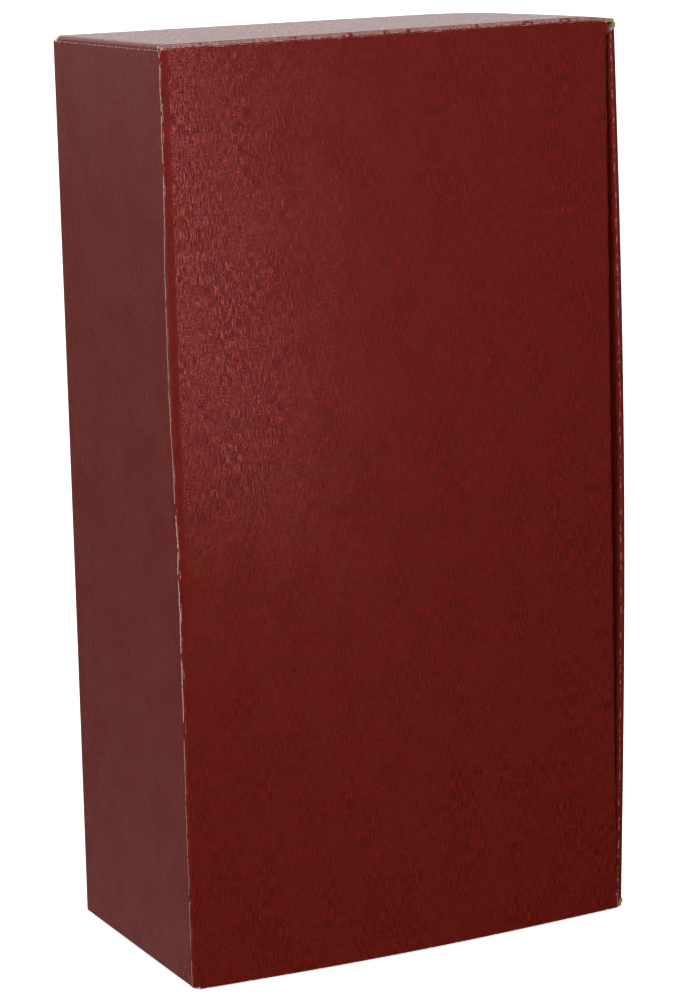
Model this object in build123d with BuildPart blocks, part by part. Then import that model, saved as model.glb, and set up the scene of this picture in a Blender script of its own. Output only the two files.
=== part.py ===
from build123d import *
import math
import os

# Two-bottle wine box: a folding carton of thin corrugated board that stands on its bottom end.
# +Z runs up the box, +X from the hinge side to the closing side, +Y from the lid to the back.
# The origin is the middle of the bottom end, at the floor. All lengths are in millimetres.
# The box is one die-cut sheet, and each panel between two creases is a piece of its own.

# The closed box
WIDTH = 180.0
DEPTH = 102.0
HEIGHT = 338.0

# The board
BOARD = 1.4  # thickness of the pressed micro-flute board with its printed facing
LAYER_GAP = 0.2  # air between boards that lie side by side in a wall

# The lid
LID_SEAT_GAP = 0.3  # between the lid and the rolled edges that it rests on
LID_SIDE_GAP = 1.2  # between the lid's free edge and the inner face of the closing side
LID_TOP_GAP = 1.6  # how far the lid stops short of the top of the box
LID_BOTTOM_GAP = 0.8  # how far the lid stops short of the floor
CREASE_GAP = 0.2  # groove pressed into a crease that works as a hinge

# The tuck flap on the lid's free edge
TUCK_DEPTH = 24.0
TUCK_END_CLEARANCE = 1.5  # between the flap's ends and the end walls
TUCK_TAPER = 9.0  # how much each end of the flap slants in towards its free edge
TUCK_CORNER = 9.0  # radius of the flap's free corners
TUCK_LEAN = 7.0  # degrees that the flap leans inward from square

# The side walls and end walls
HINGE_WALL_END_GAP = 1.2  # how far the hinge side stops short of the top and of the floor
ROLL_CORNER_GAP = 0.6  # between the end wall's rolled edge and the line of the closing side
ROLL_SLANT = 1.6  # slant of the cut at each end of the closing side's rolled edge

# The corner flaps
FLAP_LENGTH = 42.0
FLAP_SETBACK = 4.0  # behind the rolled edges
FLAP_TAPER = 7.0  # how much each long edge slants in towards the free end
FLAP_CORNER = 3.0

# The locking tabs of the inner panels, in slots of the back
TAB_LENGTH = 26.0
TAB_TAPER = 1.5  # how much each end of a tab slants in
TAB_RECESS = 0.2  # how far a tab stops short of the outside of the back
SLOT_CLEARANCE = 0.1
END_TAB_SPACING = 96.0  # between the two tabs of an end wall
CLOSING_TAB_SPACING = 110.0  # from one tab to the next, three on the closing side

# The bottle divider, one folded strip glued to the back
DIVIDER_REACH = 80.0  # from the back panel towards the lid
DIVIDER_FOOT = 34.0  # width of each glued foot
DIVIDER_END_GAP = 0.3  # between the divider's ends and the end walls

# A standard bottle, which sets how much room each half must leave
BOTTLE_DIAMETER = 76.0
BOTTLE_HEIGHT = 300.0

# Places that follow from the sizes
HINGE_X = -WIDTH / 2
CLOSING_X = WIDTH / 2
LID_Y = -DEPTH / 2
BACK_Y = DEPTH / 2
ROLL_Y = LID_Y + BOARD + LID_SEAT_GAP  # front of the rolled edges
BACK_INNER_Y = BACK_Y - BOARD
END_STACK = 3 * BOARD + 2 * LAYER_GAP  # outer panel, corner flap and inner panel
CLOSING_STACK = 2 * BOARD + LAYER_GAP  # outer panel and inner panel
END_FLAP_X = HINGE_X + BOARD + LAYER_GAP  # outside of the corner flaps behind the hinge side
END_INNER_X = END_FLAP_X + BOARD + LAYER_GAP  # where the end walls' inner panels begin
CLOSING_INNER_X = CLOSING_X - CLOSING_STACK
END_ROLL_X = CLOSING_INNER_X - ROLL_CORNER_GAP
CLOSING_FLAP_Z = HEIGHT - BOARD - LAYER_GAP  # outside of the flap under the top
TOP_INNER_Z = HEIGHT - END_STACK
BOTTOM_INNER_Z = END_STACK
LID_FREE_X = CLOSING_INNER_X - LID_SIDE_GAP
LID_LOW_Z = LID_BOTTOM_GAP
LID_HIGH_Z = HEIGHT - LID_TOP_GAP
TUCK_LOW_Z = BOTTOM_INNER_Z + TUCK_END_CLEARANCE
TUCK_HIGH_Z = TOP_INNER_Z - TUCK_END_CLEARANCE
DIVIDER_X = (END_INNER_X + CLOSING_INNER_X) / 2
DIVIDER_HALF = BOARD + LAYER_GAP / 2  # half of the doubled web
DIVIDER_LOW_Z = BOTTOM_INNER_Z + DIVIDER_END_GAP
DIVIDER_HIGH_Z = TOP_INNER_Z - DIVIDER_END_GAP
DIVIDER_CREST_Y = BACK_INNER_Y - DIVIDER_REACH
MIDDLE_Z = HEIGHT / 2
SQUARE_FOLD = 45.0  # each board of a square corner is mitred by half of the turn
TUCK_FOLD = (90 + TUCK_LEAN) / 2
CUT_OVERRUN = 0.5  # how far a cutting shape reaches past the board

# Planes on the inner faces of the boards, facing out. Their own two axes are axes of the box,
# named in brackets, so that a place on a board reads as a place in the box.
BACK = Plane(origin=(0, BACK_INNER_Y, 0), x_dir=(0, 0, 1), z_dir=(0, 1, 0))  # (Z, X)
HINGE_SIDE = Plane(origin=(HINGE_X + BOARD, 0, 0), x_dir=(0, 0, 1), z_dir=(-1, 0, 0))  # (Z, Y)
CLOSING_OUTER = Plane(origin=(CLOSING_X - BOARD, 0, 0), x_dir=(0, 1, 0), z_dir=(1, 0, 0))  # (Y, Z)
CLOSING_INNER = Plane(origin=(CLOSING_INNER_X + BOARD, 0, 0), x_dir=(0, 0, 1), z_dir=(-1, 0, 0))  # (Z, Y)
CLOSING_FLAP = Plane(origin=(0, 0, CLOSING_FLAP_Z - BOARD), x_dir=(1, 0, 0), z_dir=(0, 0, 1))  # (X, Y)
ROLLED_EDGE = Plane(origin=(0, ROLL_Y + BOARD, 0), x_dir=(1, 0, 0), z_dir=(0, -1, 0))  # (X, Z)
TOP_OUTER = Plane(origin=(0, 0, HEIGHT - BOARD), x_dir=(1, 0, 0), z_dir=(0, 0, 1))  # (X, Y)
TOP_INNER = Plane(origin=(0, 0, TOP_INNER_Z + BOARD), x_dir=(0, 1, 0), z_dir=(0, 0, -1))  # (Y, X)
TOP_FLAP = Plane(origin=(END_FLAP_X + BOARD, 0, 0), x_dir=(0, 0, 1), z_dir=(-1, 0, 0))  # (Z, Y)
LID = Plane(origin=(0, LID_Y + BOARD, 0), x_dir=(1, 0, 0), z_dir=(0, -1, 0))  # (X, Z)
CREST = Plane(origin=(0, DIVIDER_CREST_Y + BOARD, 0), x_dir=(1, 0, 0), z_dir=(0, -1, 0))  # (X, Z)
FOOT = Plane(origin=(0, BACK_INNER_Y - BOARD, 0), x_dir=(0, 0, 1), z_dir=(0, 1, 0))  # (Z, X)
WEB_OUTWARD = Plane(
    origin=(DIVIDER_X - LAYER_GAP / 2, 0, 0), x_dir=(0, 0, 1), z_dir=(-1, 0, 0)
)  # (Z, Y)
WEB_INWARD = Plane(
    origin=(DIVIDER_X - DIVIDER_HALF, 0, 0), x_dir=(0, 1, 0), z_dir=(1, 0, 0)
)  # (Y, Z)

# The tuck flap's plane has its origin at the lid's free corner and runs inward from it
TUCK_OUT = Vector(math.cos(math.radians(TUCK_LEAN)), math.sin(math.radians(TUCK_LEAN)), 0)
TUCK_IN = Vector(-TUCK_OUT.Y, TUCK_OUT.X, 0)
TUCK = Plane(origin=Vector(LID_FREE_X, LID_Y, 0) - TUCK_OUT * BOARD, x_dir=TUCK_IN, z_dir=TUCK_OUT)


def board(plane, low, high):
    """Add a rectangle of board whose inner face lies on a plane, between two of its points."""
    with BuildSketch(plane) as outline:
        with Locations(((low[0] + high[0]) / 2, (low[1] + high[1]) / 2)):
            Rectangle(high[0] - low[0], high[1] - low[1])
    extrude(outline.sketch, amount=BOARD)


def fold(plane, side, at, start, end, half_turn=SQUARE_FOLD):
    """Mitre and round one side of a board, where it folds into the next board.

    The sharp corner of the fold lies at `at` on the plane, and runs from `start` to `end`.
    """
    inward, origin = {
        "low x": (plane.x_dir, (at, end, 0)),
        "high x": (-plane.x_dir, (at, start, 0)),
        "low y": (plane.y_dir, (start, at, 0)),
        "high y": (-plane.y_dir, (end, at, 0)),
    }[side]
    section = Plane(plane.from_local_coords(Vector(*origin)), inward, inward.cross(plane.z_dir))
    inset = BOARD * math.tan(math.radians(half_turn))
    with BuildSketch(section) as waste:
        with BuildLine():
            mitre = PolarLine((inset, 0), BOARD, 90 + half_turn)
            CenterArc((inset, 0), BOARD, 90, half_turn)
            Polyline(
                (inset, BOARD),
                (inset, BOARD + CUT_OVERRUN),
                (-CUT_OVERRUN, BOARD + CUT_OVERRUN),
                (-CUT_OVERRUN, -CUT_OVERRUN),
                (inset, -CUT_OVERRUN),
                mitre @ 0,
            )
        make_face()
    extrude(waste.sketch, amount=end - start, mode=Mode.SUBTRACT)


def tab_outline(middle, root, reach):
    """Draw a locking tab on the current sketch, from its root line to its slanted end."""
    half = TAB_LENGTH / 2
    Polygon(
        (middle - half, root),
        (middle + half, root),
        (middle + half - TAB_TAPER, reach),
        (middle - half + TAB_TAPER, reach),
        align=None,
    )


def finish(piece, name):
    """Name a piece and write it."""
    piece.part.label = name
    export_step(piece.part, f"parts/{name}.step")


os.makedirs("parts", exist_ok=True)

end_tab_places = (DIVIDER_X - END_TAB_SPACING / 2, DIVIDER_X + END_TAB_SPACING / 2)
closing_tab_places = (MIDDLE_Z - CLOSING_TAB_SPACING, MIDDLE_Z, MIDDLE_Z + CLOSING_TAB_SPACING)
tab_reach = BACK_Y - TAB_RECESS
end_slot_middle = TOP_INNER_Z + BOARD / 2
closing_slot_middle = CLOSING_INNER_X + BOARD / 2
slot_length = TAB_LENGTH + 2 * SLOT_CLEARANCE
slot_width = BOARD + 2 * SLOT_CLEARANCE

# Back: the panel that everything else folds up from, with slots for the locking tabs
with BuildPart() as back_panel:
    board(BACK, (0, HINGE_X), (HEIGHT, CLOSING_X))
    fold(BACK, "low x", 0, HINGE_X, CLOSING_X)
    fold(BACK, "high x", HEIGHT, HINGE_X, CLOSING_X)
    fold(BACK, "low y", HINGE_X, 0, HEIGHT)
    fold(BACK, "high y", CLOSING_X, 0, HEIGHT)
    with BuildSketch(BACK):
        for slot_z in (end_slot_middle, HEIGHT - end_slot_middle):
            with Locations(*[(slot_z, x) for x in end_tab_places]):
                Rectangle(slot_width, slot_length)
        with Locations(*[(z, closing_slot_middle) for z in closing_tab_places]):
            Rectangle(slot_length, slot_width)
    extrude(amount=BOARD, mode=Mode.SUBTRACT)
finish(back_panel, "back_panel")

# Hinge side: one board thick, folded from the back, and the lid is folded from it
with BuildPart() as hinge_side_panel:
    board(HINGE_SIDE, (HINGE_WALL_END_GAP, LID_Y), (HEIGHT - HINGE_WALL_END_GAP, BACK_Y))
    fold(HINGE_SIDE, "low y", LID_Y, 0, HEIGHT)
    fold(HINGE_SIDE, "high y", BACK_Y, 0, HEIGHT)
finish(hinge_side_panel, "hinge_side_panel")

# Closing side: outer panel, rolled edge and inner panel, locked into the back by three tabs
with BuildPart() as closing_side_outer_panel:
    board(CLOSING_OUTER, (ROLL_Y, HEIGHT - CLOSING_FLAP_Z), (BACK_Y, CLOSING_FLAP_Z))
    fold(CLOSING_OUTER, "low x", ROLL_Y, BOTTOM_INNER_Z, TOP_INNER_Z)
    fold(CLOSING_OUTER, "high x", BACK_Y, 0, HEIGHT)
    fold(CLOSING_OUTER, "low y", HEIGHT - CLOSING_FLAP_Z, ROLL_Y + FLAP_SETBACK, BACK_Y)
    fold(CLOSING_OUTER, "high y", CLOSING_FLAP_Z, ROLL_Y + FLAP_SETBACK, BACK_Y)
finish(closing_side_outer_panel, "closing_side_outer_panel")

with BuildPart() as closing_side_roll_strip:
    with BuildSketch(ROLLED_EDGE):
        with BuildLine():
            Polyline(
                (CLOSING_INNER_X, BOTTOM_INNER_Z + ROLL_SLANT),
                (CLOSING_X, BOTTOM_INNER_Z),
                (CLOSING_X, TOP_INNER_Z),
                (CLOSING_INNER_X, TOP_INNER_Z - ROLL_SLANT),
                close=True,
            )
        make_face()
    extrude(amount=BOARD)
    fold(ROLLED_EDGE, "low x", CLOSING_INNER_X, 0, HEIGHT)
    fold(ROLLED_EDGE, "high x", CLOSING_X, 0, HEIGHT)
finish(closing_side_roll_strip, "closing_side_roll_strip")

with BuildPart() as closing_side_inner_panel:
    board(
        CLOSING_INNER,
        (BOTTOM_INNER_Z + ROLL_SLANT, ROLL_Y),
        (TOP_INNER_Z - ROLL_SLANT, BACK_INNER_Y),
    )
    fold(CLOSING_INNER, "low y", ROLL_Y, 0, HEIGHT)
    with BuildSketch(CLOSING_INNER):
        for tab_z in closing_tab_places:
            tab_outline(tab_z, BACK_INNER_Y, tab_reach)
    extrude(amount=BOARD)
finish(closing_side_inner_panel, "closing_side_inner_panel")

# The closing side's corner flap, in the hollow of the top end wall
with BuildPart() as closing_side_top_corner_flap:
    with BuildSketch(CLOSING_FLAP):
        with BuildLine():
            Polyline(
                (CLOSING_X, ROLL_Y + FLAP_SETBACK),
                (CLOSING_X, BACK_INNER_Y - LAYER_GAP),
                (CLOSING_X - FLAP_LENGTH, BACK_INNER_Y - LAYER_GAP - FLAP_TAPER),
                (CLOSING_X - FLAP_LENGTH, ROLL_Y + FLAP_SETBACK + FLAP_TAPER),
                close=True,
            )
        face = make_face()
        fillet(face.vertices().sort_by(Axis.X)[:2], FLAP_CORNER)
    extrude(amount=BOARD)
    fold(CLOSING_FLAP, "high x", CLOSING_X, LID_Y, BACK_Y)
finish(closing_side_top_corner_flap, "closing_side_top_corner_flap")

# Top end: outer panel, rolled edge and inner panel, locked into the back by two tabs
with BuildPart() as top_end_outer_panel:
    board(TOP_OUTER, (END_FLAP_X, ROLL_Y), (CLOSING_X, BACK_Y))
    fold(TOP_OUTER, "low x", END_FLAP_X, LID_Y, BACK_Y)
    fold(TOP_OUTER, "low y", ROLL_Y, HINGE_X, END_ROLL_X)
    fold(TOP_OUTER, "high y", BACK_Y, HINGE_X, CLOSING_X + CUT_OVERRUN)
finish(top_end_outer_panel, "top_end_outer_panel")

with BuildPart() as top_end_roll_strip:
    board(ROLLED_EDGE, (END_FLAP_X, TOP_INNER_Z), (END_ROLL_X, HEIGHT))
    fold(ROLLED_EDGE, "low y", TOP_INNER_Z, HINGE_X, CLOSING_X)
    fold(ROLLED_EDGE, "high y", HEIGHT, HINGE_X, CLOSING_X)
finish(top_end_roll_strip, "top_end_roll_strip")

with BuildPart() as top_end_inner_panel:
    board(TOP_INNER, (ROLL_Y, END_INNER_X), (BACK_INNER_Y, END_ROLL_X))
    fold(TOP_INNER, "low x", ROLL_Y, HINGE_X, CLOSING_X)
    with BuildSketch(Plane(TOP_INNER.origin, x_dir=(1, 0, 0), z_dir=(0, 0, 1))):
        for tab_x in end_tab_places:
            tab_outline(tab_x, BACK_INNER_Y, tab_reach)
    extrude(amount=-BOARD)
finish(top_end_inner_panel, "top_end_inner_panel")

# The top end's corner flap, glued behind the hinge side
with BuildPart() as top_end_corner_flap:
    with BuildSketch(TOP_FLAP):
        with BuildLine():
            Polyline(
                (HEIGHT, ROLL_Y + FLAP_SETBACK),
                (HEIGHT, BACK_INNER_Y - LAYER_GAP),
                (HEIGHT - FLAP_LENGTH, BACK_INNER_Y - LAYER_GAP - FLAP_TAPER),
                (HEIGHT - FLAP_LENGTH, ROLL_Y + FLAP_SETBACK + FLAP_TAPER),
                close=True,
            )
        face = make_face()
        fillet(face.vertices().sort_by(Axis.X)[:2], FLAP_CORNER)
    extrude(amount=BOARD)
    fold(TOP_FLAP, "high x", HEIGHT, LID_Y, BACK_Y)
finish(top_end_corner_flap, "top_end_corner_flap")

# Bottom end and lower corner flaps: the same pieces turned over
lower_pieces = {
    "closing_side_bottom_corner_flap": closing_side_top_corner_flap,
    "bottom_end_outer_panel": top_end_outer_panel,
    "bottom_end_roll_strip": top_end_roll_strip,
    "bottom_end_inner_panel": top_end_inner_panel,
    "bottom_end_corner_flap": top_end_corner_flap,
}
for name, upper_piece in lower_pieces.items():
    with BuildPart() as lower_piece:
        mirror(upper_piece.part, about=Plane.XY.offset(MIDDLE_Z))
    finish(lower_piece, name)

# Lid: the front, hinged along the crease at its left edge
with BuildPart() as lid_panel:
    board(LID, (HINGE_X + CREASE_GAP, LID_LOW_Z), (LID_FREE_X, LID_HIGH_Z))
    fold(LID, "low x", HINGE_X + CREASE_GAP, 0, HEIGHT)
    fold(LID, "high x", LID_FREE_X, TUCK_LOW_Z, TUCK_HIGH_Z, TUCK_FOLD)
finish(lid_panel, "lid_panel")

# Tuck flap: slips inside the closing side and holds the lid shut
with BuildPart() as lid_tuck_flap:
    with BuildSketch(TUCK):
        with BuildLine():
            Polyline(
                (CREASE_GAP, TUCK_LOW_Z),
                (TUCK_DEPTH, TUCK_LOW_Z + TUCK_TAPER),
                (TUCK_DEPTH, TUCK_HIGH_Z - TUCK_TAPER),
                (CREASE_GAP, TUCK_HIGH_Z),
                close=True,
            )
        face = make_face()
        fillet(face.vertices().sort_by(Axis.X)[2:], TUCK_CORNER)
    extrude(amount=BOARD)
    fold(TUCK, "low x", CREASE_GAP, 0, HEIGHT, TUCK_FOLD)
finish(lid_tuck_flap, "lid_tuck_flap")

# Bottle divider: two feet glued to the back, and a doubled web with a rolled crest
with BuildPart() as divider_left_foot:
    board(FOOT, (DIVIDER_LOW_Z, DIVIDER_X - DIVIDER_FOOT), (DIVIDER_HIGH_Z, DIVIDER_X - LAYER_GAP / 2))
    fold(FOOT, "high y", DIVIDER_X - LAYER_GAP / 2, DIVIDER_LOW_Z, DIVIDER_HIGH_Z)
finish(divider_left_foot, "divider_left_foot")

with BuildPart() as divider_left_web:
    board(WEB_OUTWARD, (DIVIDER_LOW_Z, DIVIDER_CREST_Y), (DIVIDER_HIGH_Z, BACK_INNER_Y))
    fold(WEB_OUTWARD, "low y", DIVIDER_CREST_Y, DIVIDER_LOW_Z, DIVIDER_HIGH_Z)
    fold(WEB_INWARD, "high x", BACK_INNER_Y, DIVIDER_LOW_Z, DIVIDER_HIGH_Z)
finish(divider_left_web, "divider_left_web")

with BuildPart() as divider_crest:
    board(
        CREST,
        (DIVIDER_X - DIVIDER_HALF, DIVIDER_LOW_Z),
        (DIVIDER_X + DIVIDER_HALF, DIVIDER_HIGH_Z),
    )
    fold(CREST, "low x", DIVIDER_X - DIVIDER_HALF, DIVIDER_LOW_Z, DIVIDER_HIGH_Z)
    fold(CREST, "high x", DIVIDER_X + DIVIDER_HALF, DIVIDER_LOW_Z, DIVIDER_HIGH_Z)
finish(divider_crest, "divider_crest")

for name, left_piece in {
    "divider_right_web": divider_left_web,
    "divider_right_foot": divider_left_foot,
}.items():
    with BuildPart() as right_piece:
        mirror(left_piece.part, about=Plane.YZ.offset(DIVIDER_X))
    finish(right_piece, name)

# What the sizes give, for whoever changes one
half_width = DIVIDER_X - DIVIDER_HALF - END_INNER_X
inner_height = TOP_INNER_Z - BOTTOM_INNER_Z
tuck_sweep = TUCK_DEPTH**2 / (LID_FREE_X - HINGE_X)
print(f"each half is {half_width:.1f} wide for a bottle of {BOTTLE_DIAMETER:.0f}")
print(f"inside height {inner_height:.1f} for a bottle of {BOTTLE_HEIGHT:.0f}")
print(f"lid hinge line at x {HINGE_X:.2f}, y {LID_Y:.2f}")
print(f"tuck crease line at x {LID_FREE_X:.2f}, y {LID_Y:.2f}")
print(f"room beside the tuck flap's free edge {LID_SIDE_GAP + TUCK_DEPTH * TUCK_OUT.Y:.2f}")
print(f"room it needs when it unfolds by half of the lid's angle {tuck_sweep:.2f}")
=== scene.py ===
import math

import bmesh
import bpy
from mathutils import Matrix, Vector


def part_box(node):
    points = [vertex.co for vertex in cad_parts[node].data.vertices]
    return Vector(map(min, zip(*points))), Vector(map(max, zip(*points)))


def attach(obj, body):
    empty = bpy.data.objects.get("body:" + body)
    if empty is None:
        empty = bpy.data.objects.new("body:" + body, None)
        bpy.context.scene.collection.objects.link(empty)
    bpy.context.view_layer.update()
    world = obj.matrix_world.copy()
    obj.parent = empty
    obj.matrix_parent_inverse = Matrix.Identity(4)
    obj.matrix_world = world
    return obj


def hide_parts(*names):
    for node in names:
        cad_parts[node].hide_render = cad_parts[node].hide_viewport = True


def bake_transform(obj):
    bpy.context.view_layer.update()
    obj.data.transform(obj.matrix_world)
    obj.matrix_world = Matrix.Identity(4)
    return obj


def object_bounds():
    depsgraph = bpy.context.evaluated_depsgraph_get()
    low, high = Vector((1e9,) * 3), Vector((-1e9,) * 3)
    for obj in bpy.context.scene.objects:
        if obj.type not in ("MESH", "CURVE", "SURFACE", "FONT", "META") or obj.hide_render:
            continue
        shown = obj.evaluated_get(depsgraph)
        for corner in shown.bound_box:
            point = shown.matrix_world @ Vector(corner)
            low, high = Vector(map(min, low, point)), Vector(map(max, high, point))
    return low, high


bl_info = {
    "name": "Two-bottle wine box",
    "version": (1, 0, 0),
    "blender": (4, 5, 0),
    "location": "View3D > Sidebar > Wine box",
    "description": "Builds a linen-embossed folding carton for two bottles around its fixed frame",
    "category": "Object",
}

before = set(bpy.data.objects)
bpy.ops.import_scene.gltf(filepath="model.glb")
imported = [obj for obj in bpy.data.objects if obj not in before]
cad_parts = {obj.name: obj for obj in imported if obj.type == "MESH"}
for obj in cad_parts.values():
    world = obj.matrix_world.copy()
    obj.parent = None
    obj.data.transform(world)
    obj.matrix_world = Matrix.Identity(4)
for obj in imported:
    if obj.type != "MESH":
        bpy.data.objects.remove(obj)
cad_low, cad_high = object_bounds()

MM = 0.001

# The carton's planes, read from the frame. +X runs from the hinge side to the closing side,
# +Y from the lid to the back and +Z up.
back_low, back_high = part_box("back_panel")
lid_low, lid_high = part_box("lid_panel")
strip_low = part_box("closing_side_roll_strip")[0]
top_strip_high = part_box("top_end_roll_strip")[1]
hinge_low, hinge_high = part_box("hinge_side_panel")
closing_low, closing_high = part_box("closing_side_outer_panel")
inner_low, inner_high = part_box("closing_side_inner_panel")
top_inner_low, top_inner_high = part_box("top_end_inner_panel")
end_flap_low, end_flap_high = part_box("top_end_corner_flap")
closing_flap_low, closing_flap_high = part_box("closing_side_top_corner_flap")
left_web_low, left_web_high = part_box("divider_left_web")
left_foot_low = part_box("divider_left_foot")[0]
crest_low, crest_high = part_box("divider_crest")

BOARD = back_high.y - back_low.y
HINGE_X, CLOSING_X = hinge_low.x, closing_high.x
LID_Y, BACK_Y = lid_low.y, back_high.y
HEIGHT = cad_high.z
ROLL_Y = strip_low.y
FRONT_INNER_Y = LID_Y + BOARD
ROLL_INNER_Y = ROLL_Y + BOARD
BACK_INNER_Y = BACK_Y - BOARD
HINGE_INNER_X = HINGE_X + BOARD
CLOSING_BOARD_X = CLOSING_X - BOARD
LINED_X = inner_high.x  # hidden side of the closing side's inner panel
LID_FREE_X = lid_high.x
END_ROLL_X = top_strip_high.x
TOP_BOARD_Z = HEIGHT - BOARD
LINED_Z = top_inner_high.z  # hidden side of the top end's inner panel
MIDDLE_Z = HEIGHT / 2
# The closing side's rolled edge runs on past the inner panels of the ends
STRIP_PAST_BOTTOM = 2.2 * MM
STRIP_PAST_TOP = 1.2 * MM
STRIP_LOW_Z = HEIGHT - top_inner_low.z - STRIP_PAST_BOTTOM
STRIP_HIGH_Z = top_inner_low.z + STRIP_PAST_TOP

# Folds. A board bends about its inner corner, so its printed face runs along an arc.
SQUARE = math.pi / 2
HALF_ARC = BOARD * SQUARE / 2
LINER_RELIEF = 0.02 * MM  # keeps the liner clear of the corner that a fold bends about
TUCK_LEAN = math.radians(7.0)  # how far the tuck flap leans in from square
TUCK_TURN = SQUARE + TUCK_LEAN
TUCK_HALF_ARC = BOARD * TUCK_TURN / 2
TUCK_INSET = BOARD * math.tan(TUCK_TURN / 2)
TUCK_FOLD_X = LID_FREE_X - TUCK_INSET
TUCK_DEPTH = 24 * MM
TUCK_END_CLEARANCE = 1.5 * MM
TUCK_HIGH_Z = top_inner_low.z - TUCK_END_CLEARANCE
TUCK_LOW_Z = HEIGHT - TUCK_HIGH_Z
TUCK_ROOT = TUCK_INSET + BOARD  # where the flap's flat board starts
TUCK_TAPER = 9 * MM
TUCK_ROOT_TAPER = TUCK_TAPER / TUCK_DEPTH * TUCK_ROOT
TUCK_CORNER = 9 * MM
TUCK_OUT = Vector((math.cos(TUCK_LEAN), math.sin(TUCK_LEAN), 0))  # the way its printed face looks
FLAP_TAPER = 7 * MM
FLAP_CORNER = 3 * MM
ROLL_SLANT = inner_low.z - (HEIGHT - top_inner_low.z)
INNER_LOW_Z, INNER_HIGH_Z = STRIP_LOW_Z + ROLL_SLANT, STRIP_HIGH_Z - ROLL_SLANT
# The hinge side's cut ends are worn down. Behind the facing they and the lid's are crushed.
HINGE_WORN = 0.7 * MM
HINGE_LOW_Z, HINGE_HIGH_Z = hinge_low.z + HINGE_WORN, hinge_high.z - HINGE_WORN
CRUSHED = 0.5 * MM
TAB_LENGTH = 26 * MM
TAB_TAPER = 1.5 * MM
SLOT_CLEARANCE = 0.1 * MM
END_TAB_SPACING = 96 * MM
CLOSING_TAB_SPACING = 110 * MM

# How finely the boards are cut, so that they can bow, bend and wave
LID_STEP, WALL_STEP, BACK_STEP, REAR_STEP, DIVIDER_STEP = 6 * MM, 12 * MM, 20 * MM, 40 * MM, 80 * MM
TAB_STEP = 6 * MM
FLUTE_STEPS = 10
CORNER_STEPS = 6
ARC_STEPS = 5
SAME_PLACE = 1e-7
CUT_TOLERANCE = 1e-8
ROUNDING = 1e-6  # of a count of steps
SHARP_ANGLE = math.radians(35)

# The top's front edge turns about this share of its width, and droops from these places on
TOP_FRONT_PIVOT = 0.35
DROOP_FROM_Z, DROOP_FROM_X, DROOP_CORNER_X = 0.8 * HEIGHT, 0.7 * CLOSING_X, 0.9 * CLOSING_X
FLARE_LIFT = 0.75  # how far the flared corner lifts, as a share of its flare

# The frame's directions, and a board's own two
LEFT, RIGHT = (-1, 0, 0), (1, 0, 0)
FRONT, REAR = (0, -1, 0), (0, 1, 0)
DOWN, UP = (0, 0, -1), (0, 0, 1)
ACROSS, UPWARDS = 0, 1

# Where each crease lies on the flat sheet, in metres across (u) and up (v) the printed face
U_HINGE = 0.0
U_TUCK = HALF_ARC + TUCK_FOLD_X - HINGE_INNER_X + TUCK_HALF_ARC
U_BACK_HINGE = U_HINGE - 2 * HALF_ARC - (BACK_INNER_Y - FRONT_INNER_Y)
U_BACK_CLOSING = U_BACK_HINGE - 2 * HALF_ARC - (CLOSING_BOARD_X - HINGE_INNER_X)
U_ROLL = U_BACK_CLOSING - 2 * HALF_ARC - (BACK_INNER_Y - ROLL_INNER_Y)
U_ROLL_INNER = U_ROLL - 2 * HALF_ARC - (CLOSING_BOARD_X - LINED_X)
V_BACK_TOP = TOP_BOARD_Z + HALF_ARC
V_ROLL = V_BACK_TOP + 2 * HALF_ARC + (BACK_INNER_Y - ROLL_INNER_Y)
V_ROLL_INNER = V_ROLL + 2 * HALF_ARC + (TOP_BOARD_Z - LINED_Z)


def measure(name, description, millimetres):
    """A length that a user can change, given in millimetres and kept in metres."""
    return bpy.props.FloatProperty(
        name=name, description=description, default=millimetres * MM, unit="LENGTH"
    )


def swatch(name, description, colour):
    """A colour that a user can change, as an sRGB hex value."""
    return bpy.props.StringProperty(name=name, description=description, default=colour)


class WineBoxSizes(bpy.types.PropertyGroup):
    """Sizes of the board and of how the used box has warped."""

    facing: measure("Facing", "Thickness of the printed, embossed facing", 0.25)
    liner: measure("Liner", "Thickness of the plain inner liner", 0.2)
    medium: measure("Medium", "Thickness of the fluted paper", 0.16)
    flute_pitch: measure("Flute pitch", "From one flute to the next", 3.3)
    lid_bulge_low: measure("Lid bulge, bottom", "How far the lid's bottom edge bows out", 3.9)
    lid_bulge_high: measure("Lid bulge, top", "How far the lid's top edge bows out", 0.5)
    lid_stand_off: measure("Lid stand-off", "How far the lid's free bottom corner stands off the box", 1.2)
    lid_spread_low: measure("Lid spread, bottom", "How far its free bottom corner spreads sideways", 1.15)
    lid_spread_high: measure("Lid spread, top", "How far its free top corner spreads sideways", 0.5)
    side_bow: measure("Side bow", "How far the closing side bows out half way up", 3.1)
    side_lean: measure("Side lean", "How far the closing side leans out at the bottom", 0.5)
    side_spread: measure("Side spread", "How far the closing side leans out at the top", 0.65)
    corner_flare: measure("Corner flare", "How far the hinge side's rear bottom corner spreads", 0.95)
    end_rise: measure("End rise", "How much higher the ends lie at the closing than at the hinge side", 2.13)
    top_front_rise: measure("Top front rise", "How much more than that the top's front edge rises", 1.22)
    top_edge_droop: measure(
        "Top edge droop", "How far the top sinks at the closing side, and once more at its front corner", 0.7
    )
    crease_sink_high: measure("Crease sink, top", "How far the hinge corner is pressed in at the top", 0.6)
    crease_sink_low: measure("Crease sink, bottom", "How far it is pressed in at the bottom", 0.35)
    crease_reach: measure("Crease reach", "How wide the pressed corner is on each panel", 6.0)


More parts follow.
